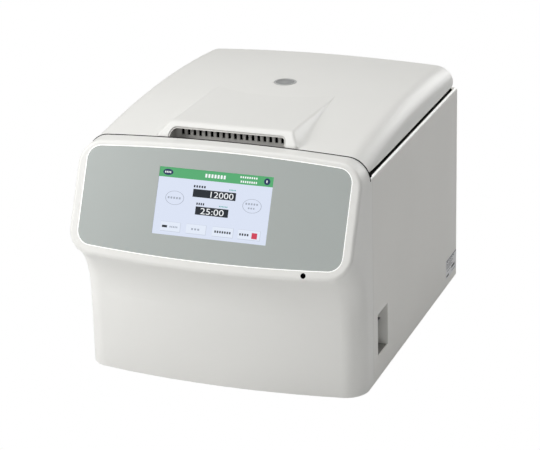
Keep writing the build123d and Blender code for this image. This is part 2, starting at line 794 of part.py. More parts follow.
def tongue(inset):
    low = hinge_z - inset
    top_y = tongue_top_y + inset / 3
    side = along_x([(lid_front + inset, low), (lid_front + inset, tongue_start_z - inset / 2),
                    (top_y, tongue_top_z - inset), (tongue_end_y, tongue_end_z - inset),
                    (tongue_end_y, low)], half_width)
    brow = [edge for edge in side.edges() if abs(edge.center().Y - top_y) < 0.01]
    side = fillet(brow, tongue_front_round - inset)
    half_low = tongue_half_low - inset
    half_high = tongue_half_high - inset
    front = Polyline((-half_low, hinge_z - inset), (half_low, hinge_z - inset), (half_high, tongue_top_z),
                     (-half_high, tongue_top_z), close=True)
    body = side & along_y(make_face(front), lid_front, tongue_end_y)
    corners = [edge for edge in body.edges() if edge.center().Y < lid_front + inset + 0.01
               and abs(edge.tangent_at(0.5).Z) > 0.2]
    body = fillet(corners, tongue_corner - inset)
    if inset:
        return body
    crest = [edge for edge in body.edges() if edge.bounding_box().min.Z > tongue_end_z - 1.5
             and edge.center().Y < tongue_end_y - 1 and abs(edge.tangent_at(0.5).X) < 0.9]
    return fillet(crest, tongue_round)


def pocket_outline(inset):
    low = pocket_low_z + inset
    high = pocket_top_z - inset
    outline = Pos(0, (low + high) / 2) * Rectangle(2 * (pocket_half - inset), high - low)
    return fillet(outline.vertices().sort_by(Axis.Y)[-2:], pocket_corner - inset)


def lid_shell():
    outer = lid_dome(0)
    shell = outer + tongue(0) - (lid_dome(lid_wall) + tongue(lid_wall))
    shell -= along_y(pocket_outline(0), lid_front - 1, pocket_back_y)
    for x in (-boss_x, boss_x):
        for setback in boss_setbacks:
            shell += rod(x, front_y + setback, inner_plate_top, lid_peak_z, boss_radius) & outer
    shell -= rod(0, rotor_y, lid_low, far, sight_radius + fit_gap)
    for side in (-1, 1):
        notch_z = hinge_z + ear_radius + 2
        shell -= box(side * hinge_x - notch_half, side * hinge_x + notch_half, hinge_y - bracket_reach, far,
                     lid_low - 1, notch_z)
    keep("lid_shell", shell)
    cup = along_y(pocket_outline(fit_gap), lid_front - 1, pocket_back_y + handle_wall)
    cup = cup & (lid_dome(1) + tongue(1))
    cup -= along_y(pocket_outline(fit_gap + handle_wall), lid_front - 2, pocket_back_y)
    slot_z = slot_low_z + slot_height / 2
    for place in range(slot_count):
        x = (place - (slot_count - 1) / 2) * slot_pitch
        cup -= block(x, pocket_back_y, slot_z, slot_width, 4 * handle_wall, slot_height)
    keep("lid_handle", cup)


def lid_inside():
    reach = lid_half - lid_wall - plate_margin
    front = lid_front + lid_wall + fit_gap
    plate = box(-reach, reach, front, hinge_y - plate_rear_gap, inner_plate_low, inner_plate_top)
    plate -= rod(0, rotor_y, 0, far, sight_bore)
    keep("lid_inner_plate", plate)
    liner = rod(0, rotor_y, inner_plate_low - liner_depth, inner_plate_low, liner_radius)
    liner = chamfer(liner.faces().sort_by(Axis.Z)[0].edges(), liner_depth / 3)
    keep("lid_liner", liner - rod(0, rotor_y, 0, far, sight_bore))
    top = lid_peak_z + sight_proud
    tube = ring(0, rotor_y, inner_plate_top, top, sight_radius, sight_bore - sight_ledge)
    tube = fillet(tube.edges().sort_by(Axis.Z)[-2:], 0.4)
    tube -= rod(0, rotor_y, top - sight_glass_thickness, top + 1, sight_bore)
    keep("sight_tube", tube)
    glass = rod(0, rotor_y, top - sight_glass_thickness, top - sight_proud, sight_bore - run_gap)
    keep("sight_glass", glass)


# Friction hinges: ears on the deck, a pin with its friction barrel, arms on the lid
def hinges():
    brackets = []
    pins = []
    arms = []
    for side in (-1, 1):
        x_in = side * (hinge_x - ear_spread - ear_thickness)
        base = block(side * hinge_x, hinge_y, deck_top + bracket_base / 2, 2 * notch_half - 4,
                     2 * bracket_reach, bracket_base)
        for inner_x in (hinge_x - ear_spread - ear_thickness, hinge_x + ear_spread):
            x0, x1 = side * inner_x, side * (inner_x + ear_thickness)
            ear = box(x0, x1, hinge_y - ear_radius, hinge_y + ear_radius, deck_top + bracket_base, hinge_z)
            base += ear + rod_x(min(x0, x1), max(x0, x1), hinge_y, hinge_z, ear_radius)
        brackets.append(base - rod_x(-far, far, hinge_y, hinge_z, pin_radius + run_gap))
        x_out = side * (hinge_x + ear_spread + ear_thickness + 1)
        pin = rod_x(min(x_in, x_out), max(x_in, x_out), hinge_y, hinge_z, pin_radius)
        x_far = x_in - side * barrel_length
        pins.append(pin + rod_x(min(x_in, x_far), max(x_in, x_far), hinge_y, hinge_z, barrel_radius))
        a0, a1 = side * (hinge_x - ear_spread + fit_gap), side * (hinge_x + ear_spread - fit_gap)
        arm = rod_x(min(a0, a1), max(a0, a1), hinge_y, hinge_z, ear_radius)
        arm += box(a0, a1, hinge_y - arm_length, hinge_y, inner_plate_top, hinge_z + 2)
        arms.append(arm - rod_x(-far, far, hinge_y, hinge_z, pin_radius + run_gap))
    keep("hinge_brackets", Compound(children=brackets))
    keep("hinge_pins", Compound(children=pins))
    keep("lid_hinge_arms", Compound(children=arms))


# Latch: two hooks on a cross shaft under the deck, bails on the lid.
# The hooks stand in the released position.
def latch():
    bails = []
    hooks = []
    for side in (-1, 1):
        x = side * latch_x
        bail = rod_x(x - bail_half, x + bail_half, latch_y, bail_z, striker_bar)
        for edge in (-1, 1):
            cheek_x = x + edge * (bail_half - 1.5)
            bail += box(cheek_x - 1.5, cheek_x + 1.5, latch_y - 4, latch_y + 4, bail_z - 4, inner_plate_low)
        bails.append(bail)
        x0 = x - hook_thickness / 2
        x1 = x + hook_thickness / 2
        front = latch_y - hook_reach - hook_bar / 2
        stem = box(x0, x1, front, front + hook_bar, shaft_z - hook_bar, shaft_z + hook_rise)
        beak = box(x0, x1, front, latch_y + striker_bar, shaft_z + hook_under, shaft_z + hook_rise)
        hub = rod_x(x0, x1, latch_y, shaft_z, 2 * latch_shaft_radius)
        hook = stem + beak + hub - rod_x(-far, far, latch_y, shaft_z, latch_shaft_radius)
        hooks.append(hook.rotate(Axis((0, latch_y, shaft_z), (1, 0, 0)), latch_angle))
    keep("lid_strikers", Compound(children=bails))
    keep("latch_hooks", Compound(children=hooks))
    lever_x = release_hole_x
    shaft = rod_x(-latch_x - bearing_step - 8, lever_x + 4, latch_y, shaft_z, latch_shaft_radius)
    lever = box(lever_x - 2.5, lever_x + 2.5, latch_y - 3, latch_y + 3, shaft_z - release_lever, shaft_z)
    lever += rod_x(lever_x - 2.5, lever_x + 2.5, latch_y, shaft_z - release_lever, 3)
    lever += rod_x(lever_x - 2.5, lever_x + 2.5, latch_y, shaft_z, 2 * latch_shaft_radius)
    keep("latch_shaft", shaft + lever.rotate(Axis((0, latch_y, shaft_z), (1, 0, 0)), latch_angle / 2))
    plates = []
    for x in (-latch_x - bearing_step, latch_x - bearing_step):
        plate = box(x - 2, x + 2, latch_y - bracket_half, latch_y + bracket_half, shaft_z - 8, deck_low)
        plates.append(plate - rod_x(-far, far, latch_y, shaft_z, latch_shaft_radius + run_gap))
    guide_y = front_y + rod_guide_setback
    guide = box(lever_x - 7, lever_x + 7, guide_y - 2, guide_y + 2, rod_z - 6, deck_low)
    plates.append(guide - rod_y(lever_x, guide_y - 9, guide_y + 9, rod_z, release_rod + run_gap))
    keep("latch_brackets", Compound(children=plates))
    x_high = -latch_x - bearing_step - 8 - fit_gap
    x_low = x_high - gearbox_length
    gearbox = box(x_low, x_high, latch_y - gearbox_half, latch_y + gearbox_half, shaft_z - gearbox_half,
                  deck_low)
    gearbox += rod_x(x_low - gearbox_nose, x_low, latch_y, shaft_z, gearbox_nose_radius)
    keep("latch_motor", gearbox)
    run = [(lever_x, rod_front_y, hole_z), (lever_x, front_y + 15, hole_z), (lever_x, front_y + 42, rod_z),
           (lever_x, rod_back_y, rod_z)]
    path = FilletPolyline(*run, radius=rod_bend)
    keep("release_rod", sweep(Plane(origin=run[0], z_dir=(0, 1, 0)) * Circle(release_rod), path=path))


# Power switch in its recess
def power_switch():
    cup = box(recess_floor_x - recess_wall, half_width - sheet, recess_y - recess_width / 2 - recess_wall,
              recess_y + recess_width / 2 + recess_wall, recess_z - recess_tall / 2 - recess_wall,
              recess_z + recess_tall / 2 + recess_wall)
    cup += block(half_width - sheet - recess_wall / 2, recess_y, recess_z, recess_wall,
                 recess_width + 2 * recess_lip, recess_tall + 2 * recess_lip)
    cup -= block(half_width, recess_y, recess_z, 2 * recess_depth, recess_width, recess_tall)
    wide = rocker_width + 2 * switch_rim
    tall = rocker_tall + 2 * switch_rim
    cup -= block(recess_floor_x, recess_y, switch_z, 4 * recess_wall, wide, tall)
    keep("switch_recess", cup)
    body = box(recess_floor_x - switch_body_depth, recess_floor_x + switch_rim_height, recess_y - wide / 2,
               recess_y + wide / 2, switch_z - tall / 2, switch_z + tall / 2)
    body += block(recess_floor_x + switch_rim_height / 2, recess_y, switch_z, switch_rim_height,
                  wide + switch_rim, tall + switch_rim)
    body -= box(recess_floor_x - rocker_pit, far, recess_y - rocker_width / 2 - fit_gap,
                recess_y + rocker_width / 2 + fit_gap, switch_z - rocker_tall / 2 - fit_gap,
                switch_z + rocker_tall / 2 + fit_gap)
    axle_half = rocker_width / 2 + 2
    body -= rod_y(rocker_x, recess_y - axle_half - run_gap, recess_y + axle_half + run_gap, switch_z,
                  rocker_axle + run_gap)
    keep("power_switch_body", body)
    half = rocker_tall / 2 - rocker_axle
    profile = [(-5, -half + 2), (rocker_crest, -half), (rocker_middle, 0), (rocker_crest, half),
               (-5, half - 2)]
    y0 = recess_y - rocker_width / 2
    face = make_face(Polyline(*[(rocker_x + x, y0, switch_z + z) for x, z in profile], close=True))
    rocker = extrude(face, amount=rocker_width, dir=(0, 1, 0))
    rocker = fillet(rocker.edges().filter_by(Axis.Y).sort_by(Axis.X)[-2:], 1)
    rocker += rod_y(rocker_x, recess_y - axle_half, recess_y + axle_half, switch_z, rocker_axle)
    keep("power_rocker", rocker.rotate(Axis((rocker_x, recess_y, switch_z), (0, 1, 0)), rocker_angle))


# Electronics on the tray
def electronics():
    x0, x1, y0, y1 = drive_board_box
    top = drive_board_z + board_thickness
    board = box(x0, x1, y0, y1, drive_board_z, top)
    for x, y, wide, deep, high in drive_parts:
        board += block(x0 + x, y0 + y, top + high / 2, wide, deep, high)
    keep("drive_board", board)
    sink_y = y1 - sink_deep / 2 - 4
    sink_x0 = x0 + sink_margin
    sink_x1 = x1 - 3 * can_radius - 1
    sink = box(sink_x0, sink_x1, sink_y - sink_deep / 2, sink_y + sink_deep / 2, top, top + sink_base)
    for fin in range(int((sink_x1 - sink_x0 - 1.5 * sink_fin) / sink_pitch) + 1):
        fin_x = sink_x0 + sink_fin + fin * sink_pitch
        sink += block(fin_x, sink_y, top + sink_height / 2, sink_fin, sink_deep, sink_height)
    keep("heat_sink", sink)
    cans = []
    for place in range(can_count):
        can_y = y0 + can_setback + place * can_pitch
        can = rod(x1 - 2 * can_radius, can_y, top, top + can_height, can_radius)
        cans.append(fillet(can.faces().sort_by(Axis.Z)[-1].edges(), 1))
    keep("capacitors", Compound(children=cans))
    x0, x1, y0, y1 = supply_box
    supply = box(x0, x1, y0, y1, tray_top, tray_top + supply_height)
    for slot in range(12):
        x = x0 + 12 + slot * (x1 - x0 - 24) / 11
        supply -= block(x, (y0 + y1) / 2, tray_top + supply_height, 4, y1 - y0 - 24, 4)
    keep("power_supply", supply)


# Cooling fan: square frame, impeller on its axle and a wire guard outside the rear panel
def fan():
    y0 = casing_back - fan_depth
    middle = casing_back - fan_depth / 2
    frame = block(fan_x, middle, fan_z, fan_size, fan_depth, fan_size)
    frame = fillet(frame.edges().filter_by(Axis.Y), 5)
    frame -= rod_y(fan_x, y0 - 1, casing_back + 1, fan_z, fan_hole)
    frame += rod_y(fan_x, y0, y0 + 4, fan_z, fan_hub)
    for strut in range(3):
        frame += Pos(fan_x, y0 + 1.5, fan_z) * Rot(0, strut * 120 + 20, 0) * Pos(30, 0, 0) * Box(31, 3, 4)
    frame += rod_y(fan_x, y0 + 4, y0 + 20, fan_z, 2)
    keep("fan_frame", frame)
    hub = rod_y(fan_x, y0 + 4.5, casing_back - 1.5, fan_z, fan_hub)
    hub = fillet(hub.faces().sort_by(Axis.Y)[-1].edges(), 2)
    vane = Pos(29, 0, 0) * Rot(32, 0, 0) * Box(26.5, 2, 18)
    for blade in range(fan_blades):
        hub += Pos(fan_x, middle + 1, fan_z) * Rot(0, blade * 360 / fan_blades, 0) * vane
    hub -= rod_y(fan_x, y0, y0 + 20 + fit_gap, fan_z, 2 + run_gap)
    keep("fan_impeller", hub)
    wire_y = rear_y - sheet + guard_wire
    centre = Pos(fan_x, wire_y, fan_z)
    guard = joined([centre * Rot(90, 0, 0) * Torus(radius, guard_wire) for radius in guard_rings])
    spoke = Pos(guard_reach / 2, 0, 0) * Box(guard_reach, 2 * guard_wire, 2 * guard_wire)
    for place in range(4):
        guard += centre * Rot(0, place * 90 + 45, 0) * spoke
    keep("fan_guard", guard)


# Mains inlet with its fuse drawer
def inlet():
    y0 = casing_back - inlet_depth
    half = inlet_width / 2
    body = box(inlet_x - half, inlet_x + half, y0, rear_y - sheet, inlet_z - inlet_height / 2,
               inlet_z + inlet_height / 2)
    body += box(inlet_x - half - 4, inlet_x + half + 4, rear_y - sheet, rear_y + rear_fittings,
                inlet_z - inlet_height / 2 - 3, inlet_z + inlet_height / 2 + 3)
    body = chamfer(body.faces().sort_by(Axis.Y)[-1].edges(), 1)
    socket_z = inlet_z - 9
    socket = block(inlet_x, rear_y, socket_z, 24, 2 * socket_depth, 16.5)
    body -= fillet(socket.edges().filter_by(Axis.Y).sort_by(Axis.Z)[-2:], 4)
    drawer_z = inlet_z + 13
    half = drawer_width / 2
    drawer_end = rear_y - drawer_depth
    body -= box(inlet_x - half, inlet_x + half, drawer_end, far, drawer_z - 6, drawer_z + 6)
    keep("inlet_body", body)
    pins = [block(inlet_x + x, rear_y - socket_depth + 7.5, socket_z + z, 2, 15, 4)
            for x, z in ((-7, -2), (7, -2), (0, 3))]
    keep("inlet_pins", Compound(children=pins))
    drawer = box(inlet_x - half + fit_gap, inlet_x + half - fit_gap, drawer_end, rear_y + rear_fittings,
                 drawer_z - 6, drawer_z + 6 - fit_gap)
    drawer -= box(inlet_x - half + 3, inlet_x + half - 3, drawer_end + 4, rear_y - 3, drawer_z - 3,
                  drawer_z + 7)
    drawer -= block(inlet_x, rear_y + rear_fittings, drawer_z - 3, 10, 2, 2)
    keep("fuse_drawer", drawer)


def small_parts():
    feet = []
    screws = []
    for x, y in foot_places:
        foot = rod(x, y, 0, underside, foot_radius)
        foot = fillet(foot.edges().sort_by(Axis.Z)[:1], 2)
        feet.append(foot - rod(x, y, 4, far, screw_radius + fit_gap) - rod(x, y, -1, 4, head_radius + 1))
        screws.append(rod(x, y, 4 - head_height, 4, head_radius) + rod(x, y, 4, tray_top + 4, screw_radius)
                      + rod(x, y, tray_top, tray_top + 3, head_radius))
    keep("rubber_feet", Compound(children=feet))
    keep("foot_screws", Compound(children=screws))
    rear = []
    for side in (-1, 1):
        for z in screw_heights:
            head = rod_y(side * screw_x, rear_y, rear_y + head_height, z, head_radius - 1)
            head = fillet(head.faces().sort_by(Axis.Y)[-1].edges(), 1)
            rear.append(head + rod_y(side * screw_x, casing_back - 2, rear_y, z, screw_radius))
    keep("rear_panel_screws", Compound(children=rear))
    plate = box(half_width, half_width + plate_thickness, front_y + plate_setback,
                front_y + plate_setback + plate_length, underside + plate_rise,
                underside + plate_rise + plate_tall)
    keep("rating_plate", fillet(plate.edges().filter_by(Axis.X), 2))


for build in (front_cover, control_panel, board_standoffs, base_tray, side_panels, rear_panel, frame_posts,
              top_deck, chamber, chassis, motor, rotor, lid_shell, lid_inside, hinges, latch, power_switch,
              electronics, fan, inlet, small_parts):
    build()

for name, shape in made.items():
    export_step(shape, "parts/" + name + ".step")
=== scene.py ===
import math

import bmesh
import bpy
from mathutils import Matrix, Vector


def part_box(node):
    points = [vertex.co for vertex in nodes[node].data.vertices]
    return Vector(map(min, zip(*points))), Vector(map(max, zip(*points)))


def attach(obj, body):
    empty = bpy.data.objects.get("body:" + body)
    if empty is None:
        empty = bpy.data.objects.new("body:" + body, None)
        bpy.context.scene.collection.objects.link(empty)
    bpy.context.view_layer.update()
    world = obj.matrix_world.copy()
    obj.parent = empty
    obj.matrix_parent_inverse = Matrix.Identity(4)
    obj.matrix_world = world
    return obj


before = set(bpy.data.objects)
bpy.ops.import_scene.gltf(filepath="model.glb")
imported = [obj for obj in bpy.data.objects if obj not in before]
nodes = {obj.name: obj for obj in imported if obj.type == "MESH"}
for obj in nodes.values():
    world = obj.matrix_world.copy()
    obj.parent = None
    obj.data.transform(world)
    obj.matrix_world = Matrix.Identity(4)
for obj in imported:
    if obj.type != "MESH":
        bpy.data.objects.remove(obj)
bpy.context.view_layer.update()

# Bench centrifuge: finishes, fine trim, screen image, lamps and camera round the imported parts. The scene is
# in metres, and the trim's own sizes and places are in millimetres.
mm = 0.001
print("frame loaded:", len(nodes), "parts")

# Camera, at the photograph's angle
camera = {
    "place": (0.9335, -2.4551, 1.1551),
    "turn": 20.9,  # degrees round the upright axis
    "dip": 20.86,  # degrees down
    "roll": -1.59,
    "lens": 137.37,
    "sensor": 36.0,
    "near": 0.1,
    "far": 50,
}


def placeCamera(look):
    turn, dip, roll = (math.radians(look[key]) for key in ("turn", "dip", "roll"))
    back = Vector((math.sin(turn) * math.cos(dip), -math.cos(turn) * math.cos(dip), math.sin(dip)))
    right = Vector((math.cos(turn), math.sin(turn), 0))
    up = back.cross(right)
    rolledRight = right * math.cos(roll) + up * math.sin(roll)
    rolledUp = up * math.cos(roll) - right * math.sin(roll)
    data = bpy.data.cameras.new("photoCamera")
    data.lens = look["lens"]
    data.sensor_width = look["sensor"]
    data.clip_start = look["near"]
    data.clip_end = look["far"]
    eye = bpy.data.objects.new("photoCamera", data)
    rows = zip(rolledRight, rolledUp, back)
    eye.matrix_world = Matrix.Translation(look["place"]) @ Matrix([list(row) for row in rows]).to_4x4()
    bpy.context.scene.collection.objects.link(eye)
    bpy.context.scene.camera = eye


placeCamera(camera)

# Lamps: a near one on the left, large ones overhead and behind, and weak ones round the rest
lamps = {
    "left": {"place": (-1.2, -1.0, 1.1), "size": 0.9, "power": 17.9},
    "overhead": {"place": (0.0, 0.2, 2.6), "size": 2.0, "power": 38.3},
    "low": {"place": (-2.0, -1.6, 0.5), "size": 1.2, "power": 3.5},
    "front": {"place": (0.3, -3.0, 1.2), "size": 1.5, "power": 13.0},
    "right": {"place": (2.6, -1.2, 1.2), "size": 1.6, "power": 2.5},
    "behind": {"place": (0.95, 2.6, 1.0), "size": 1.2, "power": 21.3},  # sheen on the right shoulder
    "behindRight": {"place": (1.6, 2.2, 0.7), "size": 1.0, "power": 1.7},
}
lampAim = (0, 0, 0.17)  # about the middle of the case
sky = {"strength": 0.092, "colour": (0.97, 0.985, 1.0)}


def makeLamps(lamps, look):
    for name, lamp in lamps.items():
        data = bpy.data.lights.new(name + "Lamp", "AREA")
        data.size = lamp["size"]
        data.energy = lamp["power"]
        thing = bpy.data.objects.new(name + "Lamp", data)
        thing.location = lamp["place"]
        aim = Vector(lampAim) - thing.location
        thing.rotation_euler = aim.to_track_quat("-Z", "Y").to_euler()
        bpy.context.scene.collection.objects.link(thing)
    world = bpy.data.worlds.new("studio")
    bpy.context.scene.world = world
    world.use_nodes = True
    tree = world.node_tree
    tree.nodes.clear()
    out = tree.nodes.new("ShaderNodeOutputWorld")
    mix = tree.nodes.new("ShaderNodeMixShader")
    dome = tree.nodes.new("ShaderNodeBackground")
    white = tree.nodes.new("ShaderNodeBackground")
    path = tree.nodes.new("ShaderNodeLightPath")
    dome.inputs["Color"].default_value = (*look["colour"], 1)
    dome.inputs["Strength"].default_value = look["strength"]
    white.inputs["Color"].default_value = (1, 1, 1, 1)
    tree.links.new(path.outputs["Is Camera Ray"], mix.inputs[0])
    tree.links.new(dome.outputs[0], mix.inputs[1])
    tree.links.new(white.outputs[0], mix.inputs[2])
    tree.links.new(mix.outputs[0], out.inputs[0])


makeLamps(lamps, sky)
bpy.context.scene.view_settings.view_transform = "Standard"
print("camera and lamps set")


# Materials: every finish is a grain over a body colour, with uneven sheen
def newMaterial(name):
    material = bpy.data.materials.new(name)
    material.use_nodes = True
    tree = material.node_tree
    tree.nodes.clear()
    out = tree.nodes.new("ShaderNodeOutputMaterial")
    body = tree.nodes.new("ShaderNodeBsdfPrincipled")
    tree.links.new(body.outputs[0], out.inputs[0])
    return material, tree, body


# What a finish has when its own entry doesn't say otherwise
plainFinish = {"stretch": (1, 1, 1), "cloudScale": 9, "cloudDetail": 3, "clouds": (0.3, 0.7),
               "spread": 0.02, "grainScale": 900, "grainDetail": 2, "roughSpread": 0.05, "leastRough": 0.02,
               "bump": 0.15, "relief": 0.0001, "metal": 0, "gloss": 0.5, "glow": 0,
               "glowColour": (1, 1, 0.98)}


def grained(name, own):
    look = {**plainFinish, **own}
    material, tree, body = newMaterial(name)
    places = tree.nodes.new("ShaderNodeTexCoord")
    stretch = tree.nodes.new("ShaderNodeMapping")
    stretch.inputs["Scale"].default_value = look["stretch"]
    tree.links.new(places.outputs["Object"], stretch.inputs[0])
    clouds = tree.nodes.new("ShaderNodeTexNoise")
    clouds.inputs["Scale"].default_value = look["cloudScale"]
    clouds.inputs["Detail"].default_value = look["cloudDetail"]
    tree.links.new(stretch.outputs[0], clouds.inputs["Vector"])
    tint = tree.nodes.new("ShaderNodeValToRGB")
    spread = look["spread"]
    tint.color_ramp.elements[0].position = look["clouds"][0]
    tint.color_ramp.elements[1].position = look["clouds"][1]
    tint.color_ramp.elements[0].color = (*(channel * (1 - spread) for channel in look["colour"]), 1)
    tint.color_ramp.elements[1].color = (*(min(1, channel * (1 + spread)) for channel in look["colour"]), 1)
    tree.links.new(clouds.outputs["Fac"], tint.inputs[0])
    tree.links.new(tint.outputs[0], body.inputs["Base Color"])
    grain = tree.nodes.new("ShaderNodeTexNoise")
    grain.inputs["Scale"].default_value = look["grainScale"]
    grain.inputs["Detail"].default_value = look["grainDetail"]
    tree.links.new(stretch.outputs[0], grain.inputs["Vector"])
    sheen = tree.nodes.new("ShaderNodeMapRange")
    rough = look["roughness"]
    sheen.inputs["To Min"].default_value = max(look["leastRough"], rough - look["roughSpread"])
    sheen.inputs["To Max"].default_value = min(1, rough + look["roughSpread"])
    tree.links.new(grain.outputs["Fac"], sheen.inputs["Value"])
    tree.links.new(sheen.outputs[0], body.inputs["Roughness"])
    bump = tree.nodes.new("ShaderNodeBump")
    bump.inputs["Strength"].default_value = look["bump"]
    bump.inputs["Distance"].default_value = look["relief"]
    tree.links.new(grain.outputs["Fac"], bump.inputs["Height"])
    tree.links.new(bump.outputs[0], body.inputs["Normal"])
    body.inputs["Metallic"].default_value = look["metal"]
    body.inputs["Specular IOR Level"].default_value = look["gloss"]
    body.inputs["Emission Color"].default_value = (*look["glowColour"], 1)
    body.inputs["Emission Strength"].default_value = look["glow"]
    return material


finishes = {
    "whiteMoulding": {"colour": (0.80, 0.795, 0.765), "roughness": 0.42, "grainScale": 1500, "bump": 0.12,
                      "spread": 0.008},
    "whiteSheet": {"colour": (0.80, 0.79, 0.755), "roughness": 0.5, "grainScale": 2200, "bump": 0.25,
                   "spread": 0.01},
    "panelFilm": {"colour": (0.41, 0.44, 0.423), "roughness": 0.36, "grainScale": 2600, "bump": 0.08,
                  "spread": 0.012},
    "screenBack": {"colour": (0.02, 0.02, 0.022), "roughness": 0.5},
    "circuitBoard": {"colour": (0.02, 0.12, 0.05), "roughness": 0.4, "cloudScale": 120, "spread": 0.3},
    "zincSteel": {"colour": (0.55, 0.56, 0.57), "roughness": 0.38, "metal": 1, "cloudScale": 60,
                  "spread": 0.12},
    "stainless": {"colour": (0.62, 0.62, 0.63), "roughness": 0.28, "metal": 1, "stretch": (1, 1, 40),
                  "grainScale": 60, "spread": 0.05},
    "liningPaint": {"colour": (0.50, 0.505, 0.50), "roughness": 0.45, "grainScale": 2200, "bump": 0.2,
                    "spread": 0.02},
    "armourSteel": {"colour": (0.25, 0.25, 0.26), "roughness": 0.5, "metal": 1, "cloudScale": 30,
                    "spread": 0.2},
    # Painted highlight: a pale paint that glows faintly, standing in for the light caught by thin edges
    "glowingHighlightPaint": {"colour": (0.93, 0.93, 0.91), "roughness": 0.45, "grainScale": 1500, "spread": 0.01,
                    "glow": 0.45},
    # Black steel of the release rod, made dead and dull as painted shade where its tip shows in the release
    # hole
    "blackSteelPaintedShade": {"colour": (0.005, 0.005, 0.005), "roughness": 0.85, "gloss": 0.1, "spread": 0.1},
    "blackRubber": {"colour": (0.012, 0.012, 0.012), "roughness": 0.75, "grainScale": 700, "bump": 0.3},
    "greyRubber": {"colour": (0.09, 0.09, 0.09), "roughness": 0.7, "grainScale": 700, "bump": 0.3},
    "darkPlastic": {"colour": (0.033, 0.033, 0.036), "roughness": 0.5, "grainScale": 1300, "bump": 0.25,
                    "spread": 0.08},
    "pocketPlastic": {"colour": (0.58, 0.57, 0.545), "roughness": 0.5, "grainScale": 1300, "bump": 0.25,
                      "spread": 0.03},
    "ringPlastic": {"colour": (0.47, 0.475, 0.465), "roughness": 0.3, "grainScale": 1500, "spread": 0.03},
    # Painted shade: dead black for gaps, slots and a hole that lie in shade, and also for the dark joint
    # lines
    "shadeAndJointBlack": {"colour": (0.003, 0.003, 0.003), "roughness": 1.0, "grainScale": 900, "bump": 0.3,
                  "gloss": 0.05},
    # Painted shade: grey for the floor of the switch recess, standing in for the shade inside it
    "recessShadeGrey": {"colour": (0.24, 0.235, 0.22), "roughness": 0.5, "grainScale": 1300, "bump": 0.25,
                    "spread": 0.05},
    "blackPlastic": {"colour": (0.012, 0.012, 0.013), "roughness": 0.3, "grainScale": 1800, "bump": 0.08},
    "lidFoam": {"colour": (0.10, 0.105, 0.11), "roughness": 0.85, "grainScale": 350, "bump": 0.6,
                "relief": 0.0004, "spread": 0.15},
    "anodised": {"colour": (0.11, 0.115, 0.125), "roughness": 0.33, "metal": 1, "stretch": (1, 1, 60),
                 "grainScale": 50, "spread": 0.08},
    "bareAluminium": {"colour": (0.72, 0.73, 0.74), "roughness": 0.3, "metal": 1, "stretch": (1, 1, 60),
                      "grainScale": 50, "spread": 0.06},
    "motorCast": {"colour": (0.42, 0.43, 0.44), "roughness": 0.6, "metal": 1, "grainScale": 500, "bump": 0.5,
                  "relief": 0.0003},
    "statorIron": {"colour": (0.20, 0.07, 0.03), "roughness": 0.4, "cloudScale": 80, "spread": 0.3},
    "magnetSteel": {"colour": (0.09, 0.09, 0.10), "roughness": 0.35, "metal": 1},
    "contactBrass": {"colour": (0.60, 0.42, 0.16), "roughness": 0.25, "metal": 1},
    "canSleeve": {"colour": (0.01, 0.015, 0.05), "roughness": 0.3},
    "blankLabel": {"colour": (0.74, 0.74, 0.75), "roughness": 0.4},
}
material = {name: grained(name, look) for name, look in finishes.items()}

# Glass of the lid's window
window = {"colour": (0.70, 0.71, 0.70), "roughness": 0.12, "clear": 0.55, "bending": 1.49}


def clearGlass(name, look):
    glass, tree, body = newMaterial(name)
    body.inputs["Base Color"].default_value = (*look["colour"], 1)
    body.inputs["Roughness"].default_value = look["roughness"]
    body.inputs["Transmission Weight"].default_value = look["clear"]
    body.inputs["IOR"].default_value = look["bending"]
    return glass


material["clearWindow"] = clearGlass("clearWindow", window)

wears = {
    "whiteMoulding": ["front_cover", "lid_shell", "switch_recess"],
    "ringPlastic": ["sight_tube"],
    "whiteSheet": ["left_side_panel", "right_side_panel", "rear_panel", "base_tray", "top_deck"],
    "panelFilm": ["control_panel_overlay"],
    "screenBack": ["display_module", "touch_screen"],
    "circuitBoard": ["control_board", "drive_board"],
    "zincSteel": ["frame_posts", "chassis_plate", "chassis_legs", "lid_hinge_arms", "lid_strikers",
                  "hinge_brackets", "latch_hooks", "latch_brackets", "power_supply", "fan_guard",
                  "foot_screws", "rear_panel_screws"],
    "liningPaint": ["lid_inner_plate"],
    "stainless": ["chamber_bowl", "hinge_pins", "latch_shaft", "motor_shaft", "motor_bearings"],
    "armourSteel": ["guard_ring"],
    "blackSteelPaintedShade": ["release_rod"],
    "blackRubber": ["shaft_boot", "motor_mounts", "rubber_feet"],
    "greyRubber": ["chamber_gasket"],
    "pocketPlastic": ["lid_handle"],
    "darkPlastic": ["latch_motor", "fan_frame", "fan_impeller"],
    "blackPlastic": ["power_switch_body", "power_rocker", "inlet_body", "fuse_drawer"],
    "lidFoam": ["lid_liner"],
    "anodised": ["rotor_body"],
    "bareAluminium": ["rotor_nut", "heat_sink"],
    "motorCast": ["motor_housing"],
    "statorIron": ["motor_stator"],
    "magnetSteel": ["motor_magnet"],
    "contactBrass": ["inlet_pins", "board_standoffs"],
    "canSleeve": ["capacitors"],
    "blankLabel": ["rating_plate"],
    "clearWindow": ["sight_glass"],
}
for finish, wearers in wears.items():
    for name in wearers:
        for slot in nodes[name].material_slots:
            slot.material = material[finish]
print("finishes on", sum(len(wearers) for wearers in wears.values()), "parts")


# Making pieces
def addMesh(name, bm, finish, body):
    mesh = bpy.data.meshes.new(name)
    bm.to_mesh(mesh)
    bm.free()
    piece = bpy.data.objects.new(name, mesh)
    mesh.materials.append(material[finish])
    bpy.context.scene.collection.objects.link(piece)
    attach(piece, body)
    return piece


def addBlock(bm, low, high):
    corners = [bm.verts.new((x, y, z)) for z in (low[2], high[2]) for y in (low[1], high[1])
               for x in (low[0], high[0])]
    for four in ((0, 2, 3, 1), (4, 5, 7, 6), (0, 1, 5, 4), (2, 6, 7, 3), (0, 4, 6, 2), (1, 3, 7, 5)):
        bm.faces.new([corners[corner] for corner in four])
